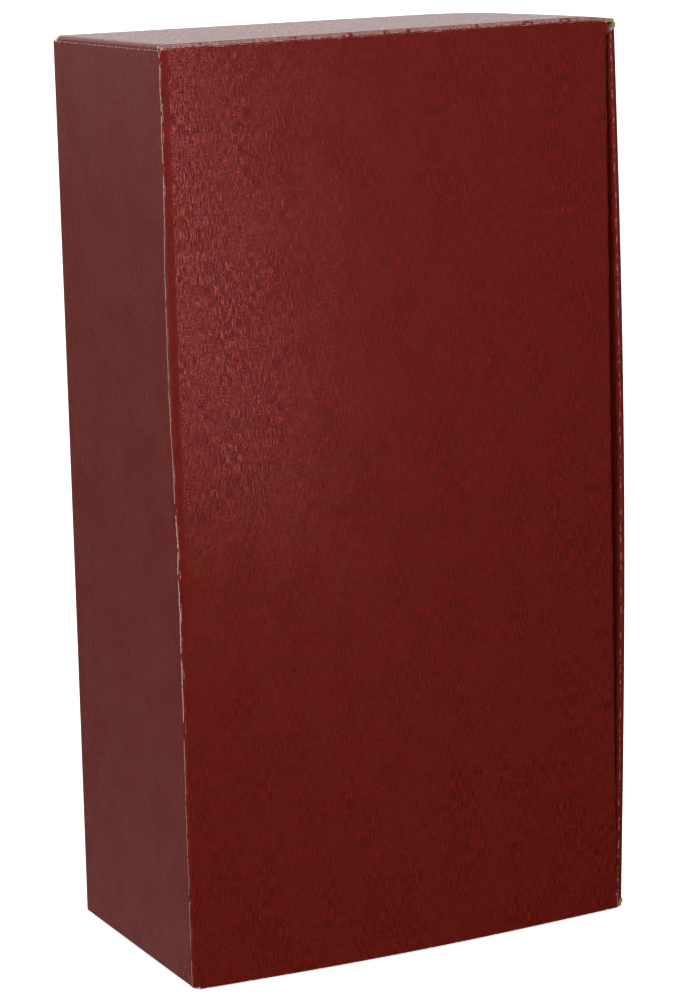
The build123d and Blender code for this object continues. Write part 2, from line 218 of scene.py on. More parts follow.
class WineBoxColours(bpy.types.PropertyGroup):
    """Colours of the papers."""

    ink: swatch("Ink", "Burgundy ink of the printed facing", "#3E0300")
    crest: swatch("Thread crests", "Ink on the raised threads, worn paler", "#862114")
    gloss: swatch("Gloss", "Tint of the ink's gloss seen straight on", "#FF9C9C")
    worn: swatch("Worn ink", "Paper fibre where the ink is rubbed off a crease", "#CFB4AF")
    paper: swatch("Facing paper", "Cut edge and hidden side of the facing", "#CDBFAF")
    kraft: swatch("Kraft liner", "Unprinted inside of the board", "#A98A64")
    medium: swatch("Fluted medium", "Fluted paper between the facing and the liner", "#97815D")
    floor: swatch("Floor", "Seamless pale floor", "#F7F7F7")


def linear(colour):
    """Turn an sRGB hex value into a linear RGBA colour."""
    channels = [int(colour[i:i + 2], 16) / 255 for i in (1, 3, 5)]
    return (*[c / 12.92 if c <= 0.04045 else ((c + 0.055) / 1.055) ** 2.4 for c in channels], 1.0)


def add(tree, kind, inputs=(), **settings):
    """Add a node with its settings. An input is a value, a socket, or a node whose result it takes."""
    node = tree.nodes.new(kind)
    for key, value in settings.items():
        setattr(node, key, value)
    for key, value in dict(inputs).items():
        if isinstance(value, bpy.types.Node):
            value = next(output for output in value.outputs if output.enabled)
        if isinstance(value, bpy.types.NodeSocket):
            tree.links.new(value, node.inputs[key])
        else:
            node.inputs[key].default_value = value
    return node


def new_material(name):
    """A new material without nodes, and its node tree."""
    material = bpy.data.materials.new(name)
    material.use_nodes = True
    material.node_tree.nodes.clear()
    return material, material.node_tree


def streaks(tree, sheet, width, length, seed):
    """Uneven marks on the sheet, of a width and a length in millimetres."""
    stretched = add(tree, "ShaderNodeVectorMath", {
        0: sheet, 1: (1 / width, 1 / length, 0), 2: (seed, seed, 0)}, operation="MULTIPLY_ADD")
    return add(tree, "ShaderNodeTexNoise", {
        "Vector": stretched, "Scale": 1.0, "Detail": 1.5, "Roughness": 0.6}, noise_dimensions="2D")


def wandering(tree, along, length, seed):
    """A value about 0.5 that wanders along a crease, at a length in millimetres."""
    place = add(tree, "ShaderNodeMath", {0: along, 1: 1 / length, 2: seed}, operation="MULTIPLY_ADD")
    return add(tree, "ShaderNodeTexNoise", {"W": place, "Scale": 1.0, "Detail": 2.0}, noise_dimensions="1D")


# A rubbed line's place drifts and its width changes over these lengths, in millimetres
DRIFT_LENGTH, WIDTH_LENGTH = 14.0, 1.3
# Added to a line's seed, so that its width and its marks don't follow its drift
WIDTH_SEED, MARK_SEED = 31.7, 77.1


def rubbed_line(tree, across, along, line):
    """Where the ink is rubbed off along one crease or cut edge, from 0 to 1.

    The line lies at one place across the sheet, in metres. In millimetres it has a width, a
    distance that it wanders, and the length of its marks. Its cover is the share of its length
    that is rubbed. A line with bends moves across by a shift from one place along it to another,
    a dim one is fainter before two places, and one with a pitch is rubbed where flutes stand out.
    """
    offset = add(tree, "ShaderNodeMath", {0: across, 1: line["at"] / MM}, operation="SUBTRACT")
    for start, end, shift in line.get("bends", ()):
        bend = add(tree, "ShaderNodeMapRange", {
            "Value": along, "From Min": start, "From Max": end, "To Max": shift,
        }, interpolation_type="SMOOTHSTEP")
        offset = add(tree, "ShaderNodeMath", {0: offset, 1: bend}, operation="SUBTRACT")
    drift = add(tree, "ShaderNodeMath", {
        0: wandering(tree, along, DRIFT_LENGTH, line["seed"]),
        1: 4 * line["wander"], 2: -2 * line["wander"],
    }, operation="MULTIPLY_ADD")
    distance = add(tree, "ShaderNodeMath", {
        0: add(tree, "ShaderNodeMath", {0: offset, 1: drift}, operation="ADD")}, operation="ABSOLUTE")
    width = add(tree, "ShaderNodeMath", {
        0: wandering(tree, along, WIDTH_LENGTH, line["seed"] + WIDTH_SEED), 1: 2 * line["width"],
    }, operation="MULTIPLY")
    outwards = add(tree, "ShaderNodeMath", {0: distance, 1: width}, operation="DIVIDE")
    inside = add(tree, "ShaderNodeMapRange", {
        "Value": outwards, "From Min": 1.0, "From Max": 0.55}, interpolation_type="SMOOTHSTEP")
    level = 0.5 + 0.28 * (0.5 - line["cover"])
    present = add(tree, "ShaderNodeMapRange", {
        "Value": wandering(tree, along, line["mark"], line["seed"] + MARK_SEED),
        "From Min": level - 0.03, "From Max": level + 0.05,
    }, interpolation_type="SMOOTHSTEP")
    present = add(tree, "ShaderNodeMath", {0: present, 1: line["strength"]}, operation="MULTIPLY")
    bare = add(tree, "ShaderNodeMath", {0: inside, 1: present}, operation="MULTIPLY")
    if "dim" in line:
        start, end, faint = line["dim"]
        strength = add(tree, "ShaderNodeMapRange", {
            "Value": along, "From Min": start, "From Max": end, "To Min": faint})
        bare = add(tree, "ShaderNodeMath", {0: bare, 1: strength}, operation="MULTIPLY")
    if "pitch" in line:
        turn = add(tree, "ShaderNodeMath", {0: along, 1: 2 * math.pi / line["pitch"]}, operation="MULTIPLY")
        wave = add(tree, "ShaderNodeMath", {0: turn}, operation="SINE")
        flute = add(tree, "ShaderNodeMapRange", {
            "Value": wave, "From Min": -0.4, "From Max": 0.5}, interpolation_type="SMOOTHSTEP")
        bare = add(tree, "ShaderNodeMath", {0: bare, 1: flute}, operation="MULTIPLY")
    return bare


def linen_paper(name, lines=()):
    """Burgundy paper, printed, then embossed between linen-patterned rolls and varnished.

    The emboss gives fine uneven threads whose crests catch the light. Creases and cut edges lose
    their ink and show pale fibre.
    """
    colours = bpy.context.scene.wine_box_colours
    material, tree = new_material(name)
    uv = add(tree, "ShaderNodeTexCoord").outputs["UV"]
    sheet = add(tree, "ShaderNodeVectorMath", {0: uv, "Scale": 1 / MM}, operation="SCALE")
    place = add(tree, "ShaderNodeSeparateXYZ", {0: sheet})
    across, along = place.outputs["X"], place.outputs["Y"]
    patches = streaks(tree, sheet, 16.0, 22.0, 41.9)
    # Threads lie about 0.25 mm apart, and stand out for 0.7 to 4 mm of their length. The upright
    # ones come first, then the level ones, and where the patches fade one set they raise the other.
    crests = []
    for short, long, (start, end, low, high) in (
        ((0.24, 0.7, 3.1), (0.28, 4.0, 8.3), (0.36, 0.62, 0.75, 1.0)),
        ((0.7, 0.24, 17.3), (4.0, 0.28, 12.7), (0.62, 0.40, 0.15, 0.6)),
    ):
        threads = add(tree, "ShaderNodeMath", {
            0: streaks(tree, sheet, *short), 1: streaks(tree, sheet, *long)}, operation="ADD")
        raised = add(tree, "ShaderNodeMapRange", {
            "Value": threads, "From Min": 0.93, "From Max": 1.09}, interpolation_type="SMOOTHSTEP")
        depth = add(tree, "ShaderNodeMapRange", {
            "Value": patches, "From Min": start, "From Max": end, "To Min": low, "To Max": high,
        }, interpolation_type="SMOOTHSTEP")
        crests.append(add(tree, "ShaderNodeMath", {0: raised, 1: depth}, operation="MULTIPLY"))
    crest = add(tree, "ShaderNodeMath", {0: crests[0], 1: crests[1]}, operation="MAXIMUM")
    colour = add(tree, "ShaderNodeMix", {
        0: crest, 6: linear(colours.ink), 7: linear(colours.crest)}, data_type="RGBA")
    roughness = add(tree, "ShaderNodeMapRange", {"Value": crest, "To Min": 0.42, "To Max": 0.17})
    for line in lines:
        sides = (across, along) if line["axis"] == "u" else (along, across)
        bare = rubbed_line(tree, *sides, line)
        colour = add(tree, "ShaderNodeMix", {0: bare, 6: colour, 7: linear(colours.worn)}, data_type="RGBA")
        dull = add(tree, "ShaderNodeMath", {0: bare, 1: 0.8}, operation="MULTIPLY")
        roughness = add(tree, "ShaderNodeMath", {0: roughness, 1: dull}, operation="MAXIMUM")
    bump = add(tree, "ShaderNodeBump", {"Height": crest, "Strength": 0.8, "Distance": 0.1 * MM})
    shader = add(tree, "ShaderNodeBsdfPrincipled", {
        "Base Color": colour, "Roughness": roughness, "Normal": bump, "IOR": 1.6,
        "Specular Tint": linear(colours.gloss)})
    add(tree, "ShaderNodeOutputMaterial", {"Surface": shader})
    return material


def plain_paper(name, colour, roughness, fibre, washboard=0.0):
    """Uncoated paper: dull, with fine fibres, and on a liner the flutes showing faintly through."""
    material, tree = new_material(name)
    coordinates = add(tree, "ShaderNodeTexCoord")
    place = coordinates.outputs["Object"]
    fibres = add(tree, "ShaderNodeTexNoise", {
        "Vector": place, "Scale": 1 / (fibre * MM), "Detail": 4.0, "Roughness": 0.65})
    blotches = add(tree, "ShaderNodeTexNoise", {"Vector": place, "Scale": 60.0, "Detail": 2.0})
    fleck = add(tree, "ShaderNodeMapRange", {
        "Value": fibres, "From Min": 0.3, "From Max": 0.7, "To Min": 0.86, "To Max": 1.1})
    shade = add(tree, "ShaderNodeMapRange", {
        "Value": blotches, "From Min": 0.3, "From Max": 0.7, "To Min": 0.94, "To Max": 1.05})
    tone = add(tree, "ShaderNodeMath", {0: fleck, 1: shade}, operation="MULTIPLY")
    tinted = add(tree, "ShaderNodeVectorMath", {0: linear(colour)[:3], "Scale": tone}, operation="SCALE")
    height = fibres
    if washboard:
        across = add(tree, "ShaderNodeSeparateXYZ", {0: coordinates.outputs["UV"]}).outputs["X"]
        pitch = bpy.context.scene.wine_box_sizes.flute_pitch
        turn = add(tree, "ShaderNodeMath", {0: across, 1: 2 * math.pi / pitch}, operation="MULTIPLY")
        wave = add(tree, "ShaderNodeMath", {0: turn}, operation="SINE")
        height = add(tree, "ShaderNodeMath", {0: wave, 1: washboard, 2: fibres}, operation="MULTIPLY_ADD")
    bump = add(tree, "ShaderNodeBump", {"Height": height, "Strength": 0.4, "Distance": 0.08 * MM})
    shader = add(tree, "ShaderNodeBsdfPrincipled", {
        "Base Color": tinted, "Roughness": roughness, "Normal": bump})
    add(tree, "ShaderNodeOutputMaterial", {"Surface": shader})
    return material


def stock(name):
    """One of the unprinted papers of the board, made when it is first needed."""
    if name in bpy.data.materials:
        return bpy.data.materials[name]
    colours = bpy.context.scene.wine_box_colours
    finishes = {
        "facing_paper_core": (colours.paper, 0.85, 0.25),
        "fluted_medium": (colours.medium, 0.9, 0.3),
        "kraft_liner": (colours.kraft, 0.82, 0.35, 0.6),
    }
    return plain_paper(name, *finishes[name])


PRINTED, CORE, MEDIUM, LINER = range(4)


class Board:
    """One panel of board: its inner plane, and how it lies on the sheet.

    Points on it are given as a place across, a place up and a height over the inner face. A fold
    is an axis, the side of a limit on that axis where the board bends, the limit, and the turn.
    """

    def __init__(self, origin, across, up, out, sheet):
        self.origin, self.across, self.up, self.out = map(Vector, (origin, across, up, out))
        self.sheet = sheet

    def place(self, point, folds):
        """The place in the box of a point on the board, bent round the folds that it lies past."""
        flat, height = [point[0], point[1]], point[2]
        for axis, side, limit, turn in folds:
            past = (flat[axis] - limit) * side
            if past > 0:
                angle = min(past / BOARD, turn)
                straight = past - angle * BOARD
                flat[axis] = limit + side * (height * math.sin(angle) + straight * math.cos(angle))
                height = height * math.cos(angle) - straight * math.sin(angle)
        return self.origin + self.across * flat[0] + self.up * flat[1] + self.out * height


def steps(start, end, longest, extra=()):
    """Cutting places from start to end, no further apart than the longest step."""
    count = max(1, math.ceil((end - start) / longest - ROUNDING))
    places = {start + (end - start) * i / count for i in range(count + 1)}
    places |= {place for place in extra if start < place < end}
    places = sorted(places)
    return [p for i, p in enumerate(places) if i == 0 or p - places[i - 1] > SAME_PLACE]


def extent(outline):
    """An outline's lowest and highest places, across and up."""
    across, up = zip(*outline)
    return (min(across), max(across)), (min(up), max(up))


def add_layer(bm, board, outline, low, thickness, cuts, slots, folds=(), holes=(), wave=None):
    """Add one closed layer of paper to a board, cut to a convex outline."""
    across, up = cuts
    uv = bm.loops.layers.uv.verify()
    grid = bmesh.ops.create_grid(bm, x_segments=len(across) - 1, y_segments=len(up) - 1, size=1.0)
    for vertex in grid["verts"]:
        column = round((vertex.co.x + 1) / 2 * (len(across) - 1))
        row = round((vertex.co.y + 1) / 2 * (len(up) - 1))
        vertex.co = (across[column], up[row], 0)
    links = [link for vertex in grid["verts"] for link in (*vertex.link_edges, *vertex.link_faces)]
    geometry = [*grid["verts"], *dict.fromkeys(links)]
    for start, end in zip(outline, outline[1:] + outline[:1]):
        side = (end[1] - start[1], start[0] - end[0], 0)
        cut = bmesh.ops.bisect_plane(
            bm, geom=geometry, dist=CUT_TOLERANCE, plane_co=(*start, 0), plane_no=side, clear_outer=True
        )
        geometry = cut["geom"]
    faces = [g for g in geometry if isinstance(g, bmesh.types.BMFace)]
    middles = {face: face.calc_center_median() for face in faces}
    in_hole = [face for face in faces if any(
        low_a < middles[face].x < high_a and low_b < middles[face].y < high_b
        for low_a, high_a, low_b, high_b in holes
    )]
    faces = [face for face in faces if face not in set(in_hole)]
    bmesh.ops.delete(bm, geom=in_hole, context="FACES")
    lower = {vertex for face in faces for vertex in face.verts}
    for vertex in lower:
        vertex.co.z = low + (wave(vertex.co) if wave else 0.0)
    extruded = bmesh.ops.extrude_face_region(bm, geom=faces)["geom"]
    upper = {g for g in extruded if isinstance(g, bmesh.types.BMVert)}
    for vertex in upper:
        vertex.co.z += thickness
    for face in {face for vertex in lower | upper for face in vertex.link_faces}:
        face.material_index = slots[0] if all(vertex in upper for vertex in face.verts) else slots[1]
        for loop in face.loops:
            loop[uv].uv = board.sheet(loop.vert.co.x, loop.vert.co.y)
    for vertex in lower | upper:
        vertex.co = board.place(vertex.co, folds)


def rectangle(low_across, high_across, low_up, high_up):
    """A rectangle's corners, counter-clockwise."""
    return [(low_across, low_up), (high_across, low_up), (high_across, high_up), (low_across, high_up)]


def rounded(corners, radii):
    """A convex outline with some corners rounded by arcs."""
    outline = []
    for i, corner in enumerate(corners):
        here, radius = Vector(corner), radii.get(i, 0)
        before = (Vector(corners[i - 1]) - here).normalized()
        after = (Vector(corners[(i + 1) % len(corners)]) - here).normalized()
        if not radius:
            outline.append(corner)
            continue
        half = before.angle(after) / 2
        centre = here + (before + after).normalized() * radius / math.sin(half)
        start = here + before * radius / math.tan(half) - centre
        turn = math.pi - 2 * half
        for step in range(CORNER_STEPS + 1):
            arm = start.copy()
            arm.rotate(Matrix.Rotation(turn * step / CORNER_STEPS, 2))
            outline.append(tuple(centre + arm))
    return outline


def add_flat(bm, board, outline, longest=1.0, holes=(), flutes_up=True, crushed=0.0):
    """Add a flat stretch of corrugated board: facing, fluted medium and liner.

    The medium and the liner stop short of its lower and upper ends by what is crushed.
    """
    sizes = bpy.context.scene.wine_box_sizes
    (low_a, high_a), (low_b, high_b) = extent(outline)
    hole_a = [place for hole in holes for place in hole[:2]]
    hole_b = [place for hole in holes for place in hole[2:]]
    cuts = (steps(low_a, high_a, longest, hole_a), steps(low_b, high_b, longest, hole_b))
    facing_low = BOARD - sizes.facing
    add_layer(bm, board, outline, facing_low, sizes.facing, cuts, (PRINTED, CORE), holes=holes)
    outline = [(a, min(max(b, low_b + crushed), high_b - crushed)) for a, b in outline]
    add_layer(bm, board, outline, 0.0, sizes.liner, cuts, (LINER, LINER), holes=holes)
    room = facing_low - sizes.liner - sizes.medium
    axis = ACROSS if flutes_up else UPWARDS

    def wave(place):
        return room * (0.5 - 0.5 * math.cos(2 * math.pi * place[axis] / sizes.flute_pitch))

    longest_steps = [2 * longest, 2 * longest]
    longest_steps[axis] = sizes.flute_pitch / FLUTE_STEPS
    cuts = (steps(low_a, high_a, longest_steps[0], hole_a), steps(low_b, high_b, longest_steps[1], hole_b))
    add_layer(
        bm, board, outline, sizes.liner, sizes.medium, cuts, (MEDIUM, MEDIUM), holes=holes, wave=wave
    )


def add_fold(bm, board, outline, folds, longest=1.0, core=CORE, only=None):
    """Add a stretch of crushed board that bends round its folds: facing, pressed core and liner.

    Only the facing or only what lies behind it is added where the two are separate pieces.
    """
    sizes = bpy.context.scene.wine_box_sizes
    limits = [[], []]
    longest_steps = [longest, longest]
    for axis, side, limit, turn in folds:
        limits[axis] += [limit, limit + side * BOARD * turn]
        longest_steps[axis] = HALF_ARC / ARC_STEPS
    cuts = [
        steps(*ends, step, extra) for ends, step, extra in zip(extent(outline), longest_steps, limits)
    ]
    facing_low = BOARD - sizes.facing
    layers = []
    if only != "behind":
        back = PRINTED if only else CORE
        layers.append((facing_low, sizes.facing, (PRINTED, back)))
    if only != "facing":
        layers.append((sizes.liner, facing_low - sizes.liner, (core, core)))
        layers.append((LINER_RELIEF, sizes.liner - LINER_RELIEF, (LINER, LINER)))
    for low, thickness, slots in layers:
        add_layer(bm, board, outline, low, thickness, cuts, slots, folds=folds)


def add_edge_fold(bm, board, axis, side, limit, ends, longest):
    """Add the near half of the square fold along one straight edge of a panel."""
    width = sorted((limit, limit + side * HALF_ARC))
    outline = rectangle(*width, *ends) if axis == ACROSS else rectangle(*ends, *width)
    add_fold(bm, board, outline, [(axis, side, limit, SQUARE / 2)], longest)


def finish_piece(
    bm, name, nodes, printed, body="carton", flipped=False, warp=None
):
    """Warp a piece's mesh, and make it an object that rides on its body and stands for its nodes.

    A piece that lies across a crease has no body here.
    """
    for vertex in bm.verts:
        if flipped:
            vertex.co.z = HEIGHT - vertex.co.z
        vertex.co = skew(warp(vertex.co) if warp else vertex.co)
    bmesh.ops.recalc_face_normals(bm, faces=bm.faces[:])
    mesh = bpy.data.meshes.new(name)
    bm.to_mesh(mesh)
    bm.free()
    mesh.materials.append(printed)
    for paper in ("facing_paper_core", "fluted_medium", "kraft_liner"):
        mesh.materials.append(stock(paper))
    mesh.shade_smooth()
    mesh.set_sharp_from_angle(angle=SHARP_ANGLE)
    piece = bpy.data.objects.new(name, mesh)
    bpy.context.scene.collection.objects.link(piece)
    if nodes:
        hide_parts(*nodes)
    if body:
        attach(piece, body)
    return piece


def share(value, start, end):
    """How far a value lies between two others, from 0 to 1."""
    return min(1.0, max(0.0, (value - start) / (end - start)))


def skew(place):
    """Let the ends rise towards the closing side, as on a carton that has been pushed out of square."""
    sizes = bpy.context.scene.wine_box_sizes
    over = share(place.x, HINGE_X, CLOSING_X)
    front = 1 - share(place.y, LID_Y, BACK_Y)
    up = share(place.z, 0, HEIGHT)
    rise = sizes.end_rise * (over - 0.5) + sizes.top_front_rise * up * front * (over - TOP_FRONT_PIVOT)
    side = share(place.x, DROOP_FROM_X, CLOSING_X) ** 2
    corner = share(place.x, DROOP_CORNER_X, CLOSING_X) * front ** 4
    droop = share(place.z, DROOP_FROM_Z, HEIGHT) * sizes.top_edge_droop * (side + corner)
    flare = sizes.corner_flare * share(place.z, HEIGHT, 0) ** 2 * (1 - front) * (1 - over)
    return place + Vector((-flare, 0, rise - droop + FLARE_LIFT * flare))


def press_corner(place):
    """Press in the hinge corner, where the creasing rule and use have flattened the flutes."""
    sizes = bpy.context.scene.wine_box_sizes
    sink = sizes.crease_sink_low
    sink += (sizes.crease_sink_high - sizes.crease_sink_low) * share(place.z, 0, HEIGHT)
    fades = [
        max(0.0, 1 - max(0.0, away) / sizes.crease_reach) ** 2
        for away in (place.x - HINGE_X, place.y - LID_Y)
    ]
    sink *= fades[0] * fades[1]
    return place + Vector((sink, sink, 0))


def warp_lid(place):
    """Bow the lid out across its width, most at the bottom, and push its free corner out."""
    sizes = bpy.context.scene.wine_box_sizes
    over = share(place.x, HINGE_X, LID_FREE_X)
    down = 1 - share(place.z, 0, HEIGHT)
    bulge = sizes.lid_bulge_high + (sizes.lid_bulge_low - sizes.lid_bulge_high) * down
    lift = bulge * math.sin(math.pi * over) + sizes.lid_stand_off * over * down
    spread = sizes.lid_spread_high + (sizes.lid_spread_low - sizes.lid_spread_high) * down
    return press_corner(place) + Vector((spread * over, -lift, 0))


def warp_closing_side(place):
    """Bow the closing side out, and more towards the lid than at the back."""
    sizes = bpy.context.scene.wine_box_sizes
    front = 1 - share(place.y, ROLL_Y, BACK_Y)
    up = share(place.z, 0, HEIGHT)
    out = sizes.side_bow * math.sin(math.pi * up) + sizes.side_lean * (1 - up) + sizes.side_spread * up ** 2
    return place + Vector((out * front, 0, 0))


def end_tabs():
    """The middles of an end wall's two locking tabs."""
    middle = (top_inner_low.x + inner_low.x) / 2
    return (middle - END_TAB_SPACING / 2, middle + END_TAB_SPACING / 2)


def closing_tabs():
    """The middles of the closing side's three locking tabs."""
    return (MIDDLE_Z - CLOSING_TAB_SPACING, MIDDLE_Z, MIDDLE_Z + CLOSING_TAB_SPACING)


def u_of_back(x):
    """Where a place across the back lies across the sheet."""
    return U_BACK_HINGE - HALF_ARC - (x - HINGE_INNER_X)


def u_of_closing(y):
    """Where a place along the closing side lies across the sheet."""
    return U_BACK_CLOSING - HALF_ARC - (BACK_INNER_Y - y)


def v_of_end(y):
    """Where a place along an end wall lies up the sheet."""
    return V_BACK_TOP + HALF_ARC + (BACK_INNER_Y - y)


def rubbed(axis, at, width, wander, cover, mark, seed, strength=0.8, **pattern):
    """One line of rubbed ink, as the linen paper takes it."""
    return {
        "axis": axis, "at": at, "width": width, "wander": wander, "cover": cover, "mark": mark,
        "seed": seed, "strength": strength, **pattern,
    }


# The worn line of the hinge crease moves across by these shifts, all in millimetres
HINGE_BENDS = ((60, 110, 0.35), (160, 225, -2.15), (250, 295, 1.65), (318, 336, -0.25))
HINGE_WEAR = (
    rubbed("u", U_HINGE - 0.8 * MM, 0.25, 0.2, 0.97, 9.0, 2.7, 0.85, bends=HINGE_BENDS, dim=(80, 110, 0.5)),
    rubbed("u", U_HINGE - 0.1 * MM, 0.12, 0.2, 0.35, 7.0, 9.4, 0.6, bends=HINGE_BENDS, dim=(80, 110, 0.3)),
)
# A chip across the bottom of the hinge corner, from about 3 mm along the hinge side
CHIP_WEAR = rubbed("v", 0.9 * MM, 0.6, 0.1, 1.0, 3.0, 5.5, 0.95, dim=(-3.6, -2.6, 0.0))
TUCK_WEAR = (rubbed("u", U_TUCK, 0.14, 0.12, 0.4, 9.0, 21.0, 0.6),)


class WINEBOX_OT_lid(bpy.types.Operator):
    """Build the lid and its tuck flap."""

    bl_idname = "wine_box.lid"
    bl_label = "Lid and tuck flap"

    def execute(self, context):
        printed = linen_paper("linen_paper_lid", (
            *HINGE_WEAR, *TUCK_WEAR,
            rubbed("v", lid_low.z, 0.25, 0.1, 0.1, 3.0, 5.5),
            rubbed("v", lid_high.z, 0.14, 0.1, 0.3, 5.0, 8.1, 0.6),
        ))
        board = Board(
            (0, FRONT_INNER_Y, 0), RIGHT, UP, FRONT,
            lambda x, z: (U_HINGE + HALF_ARC + x - HINGE_INNER_X, z),
        )
        seam = TUCK_FOLD_X - BOARD
        panel = rectangle(HINGE_INNER_X + BOARD, seam, lid_low.z, lid_high.z)
        bm = bmesh.new()
        add_flat(bm, board, panel, LID_STEP, crushed=CRUSHED)
        for low, high in ((lid_low.z, TUCK_LOW_Z), (TUCK_HIGH_Z, lid_high.z)):
            add_flat(bm, board, rectangle(seam, LID_FREE_X, low, high))
        finish_piece(bm, "lid_board", ["lid_panel"], printed, body="lid", warp=warp_lid)

        inward = Vector((-math.sin(TUCK_LEAN), math.cos(TUCK_LEAN), 0))
        tuck = Board(
            Vector((LID_FREE_X, LID_Y, 0)) - TUCK_OUT * BOARD, inward, UP, TUCK_OUT,
            lambda a, z: (U_TUCK + TUCK_HALF_ARC + a - TUCK_INSET, z),
        )
        outline = rounded([
            (TUCK_ROOT, TUCK_LOW_Z + TUCK_ROOT_TAPER), (TUCK_DEPTH, TUCK_LOW_Z + TUCK_TAPER),
            (TUCK_DEPTH, TUCK_HIGH_Z - TUCK_TAPER), (TUCK_ROOT, TUCK_HIGH_Z - TUCK_ROOT_TAPER),
        ], {1: TUCK_CORNER, 2: TUCK_CORNER})
        bm = bmesh.new()
        add_flat(bm, tuck, outline, LID_STEP)
        finish_piece(bm, "tuck_flap_board", ["lid_tuck_flap"], printed, body="tuck_flap", warp=warp_lid)
        return {"FINISHED"}


class WINEBOX_OT_creases(bpy.types.Operator):
    """Build the two creases: from the hinge side to the lid, and from the lid to its tuck flap."""

    bl_idname = "wine_box.creases"
    bl_label = "Bending creases"

    def execute(self, context):
        printed = linen_paper("linen_paper_creases", (*HINGE_WEAR, *TUCK_WEAR, CHIP_WEAR))
        self.add_hinge_crease(printed)
        self.add_tuck_crease(printed)
        return {"FINISHED"}

    def add_hinge_crease(self, printed):
        """The corner from the hinge side to the lid: its facing bends, and behind it the board parts."""
        limit = -FRONT_INNER_Y
        board = Board(
            (HINGE_INNER_X, 0, 0), FRONT, UP, LEFT, lambda a, z: (U_HINGE - HALF_ARC + a - limit, z)
        )
        near, middle, far = limit - BOARD, limit + HALF_ARC, limit + BOARD * SQUARE + BOARD
        folds = [(ACROSS, 1, limit, SQUARE)]
        outline = [(near, HINGE_LOW_Z), (far, lid_low.z), (far, lid_high.z), (near, HINGE_HIGH_Z)]
        bm = bmesh.new()
        add_fold(bm, board, outline, folds, LID_STEP, only="facing")
        crease = finish_piece(bm, "hinge_crease_board", [], printed, body=None, warp=warp_lid)
        # It bends in a narrow line, because the lid turns past a half turn
        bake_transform(crease)
        part_way = (middle - near) / (far - near)
        low_z = HINGE_LOW_Z + (lid_low.z - HINGE_LOW_Z) * part_way
        high_z = HINGE_HIGH_Z + (lid_high.z - HINGE_HIGH_Z) * part_way
        for name, body, outline in (
            ("side", "carton", [
                (near, HINGE_LOW_Z), (middle, low_z), (middle, high_z), (near, HINGE_HIGH_Z)]),
            ("lid", "lid", [
                (middle, low_z), (far, lid_low.z), (far, lid_high.z), (middle, high_z)]),
        ):
            bm = bmesh.new()
            add_fold(bm, board, outline, folds, LID_STEP, only="behind")
            finish_piece(bm, f"hinge_crease_{name}_core", [], printed, body=body, warp=warp_lid)

    def add_tuck_crease(self, printed):
        """The fold from the lid to its tuck flap."""
        board = Board(
            (0, FRONT_INNER_Y, 0), RIGHT, UP, FRONT,
            lambda x, z: (U_TUCK - TUCK_HALF_ARC + x - TUCK_FOLD_X, z),
        )
        near, far = TUCK_FOLD_X - BOARD, TUCK_FOLD_X + BOARD * TUCK_TURN + BOARD
        outline = [
            (near, TUCK_LOW_Z), (TUCK_FOLD_X, TUCK_LOW_Z), (far, TUCK_LOW_Z + TUCK_ROOT_TAPER),
            (far, TUCK_HIGH_Z - TUCK_ROOT_TAPER), (TUCK_FOLD_X, TUCK_HIGH_Z), (near, TUCK_HIGH_Z),
        ]
        bm = bmesh.new()
        add_fold(bm, board, outline, [(ACROSS, 1, TUCK_FOLD_X, TUCK_TURN)], LID_STEP)
        crease = finish_piece(bm, "tuck_crease_board", [], printed, body=None, warp=warp_lid)
        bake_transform(crease)


class WINEBOX_OT_hinge_side(bpy.types.Operator):
    """Build the hinge side, one board thick."""

    bl_idname = "wine_box.hinge_side"
    bl_label = "Hinge side"

    def execute(self, context):
        printed = linen_paper("linen_paper_hinge_side", (
            *HINGE_WEAR, CHIP_WEAR,
            rubbed("v", HINGE_HIGH_Z - 0.1 * MM, 0.26, 0.05, 0.7, 4.0, 12.0, pitch=3.3),
        ))
        board = Board(
            (HINGE_INNER_X, 0, 0), REAR, UP, LEFT,
            lambda y, z: (U_HINGE - HALF_ARC - (y - FRONT_INNER_Y), z),
        )
        panel = rectangle(FRONT_INNER_Y + BOARD, BACK_INNER_Y, HINGE_LOW_Z, HINGE_HIGH_Z)
        bm = bmesh.new()
        add_flat(bm, board, panel, WALL_STEP, crushed=CRUSHED)
        add_edge_fold(bm, board, ACROSS, 1, BACK_INNER_Y, (HINGE_LOW_Z, HINGE_HIGH_Z), REAR_STEP)
        finish_piece(bm, "hinge_side_board", ["hinge_side_panel"], printed, warp=press_corner)
        return {"FINISHED"}


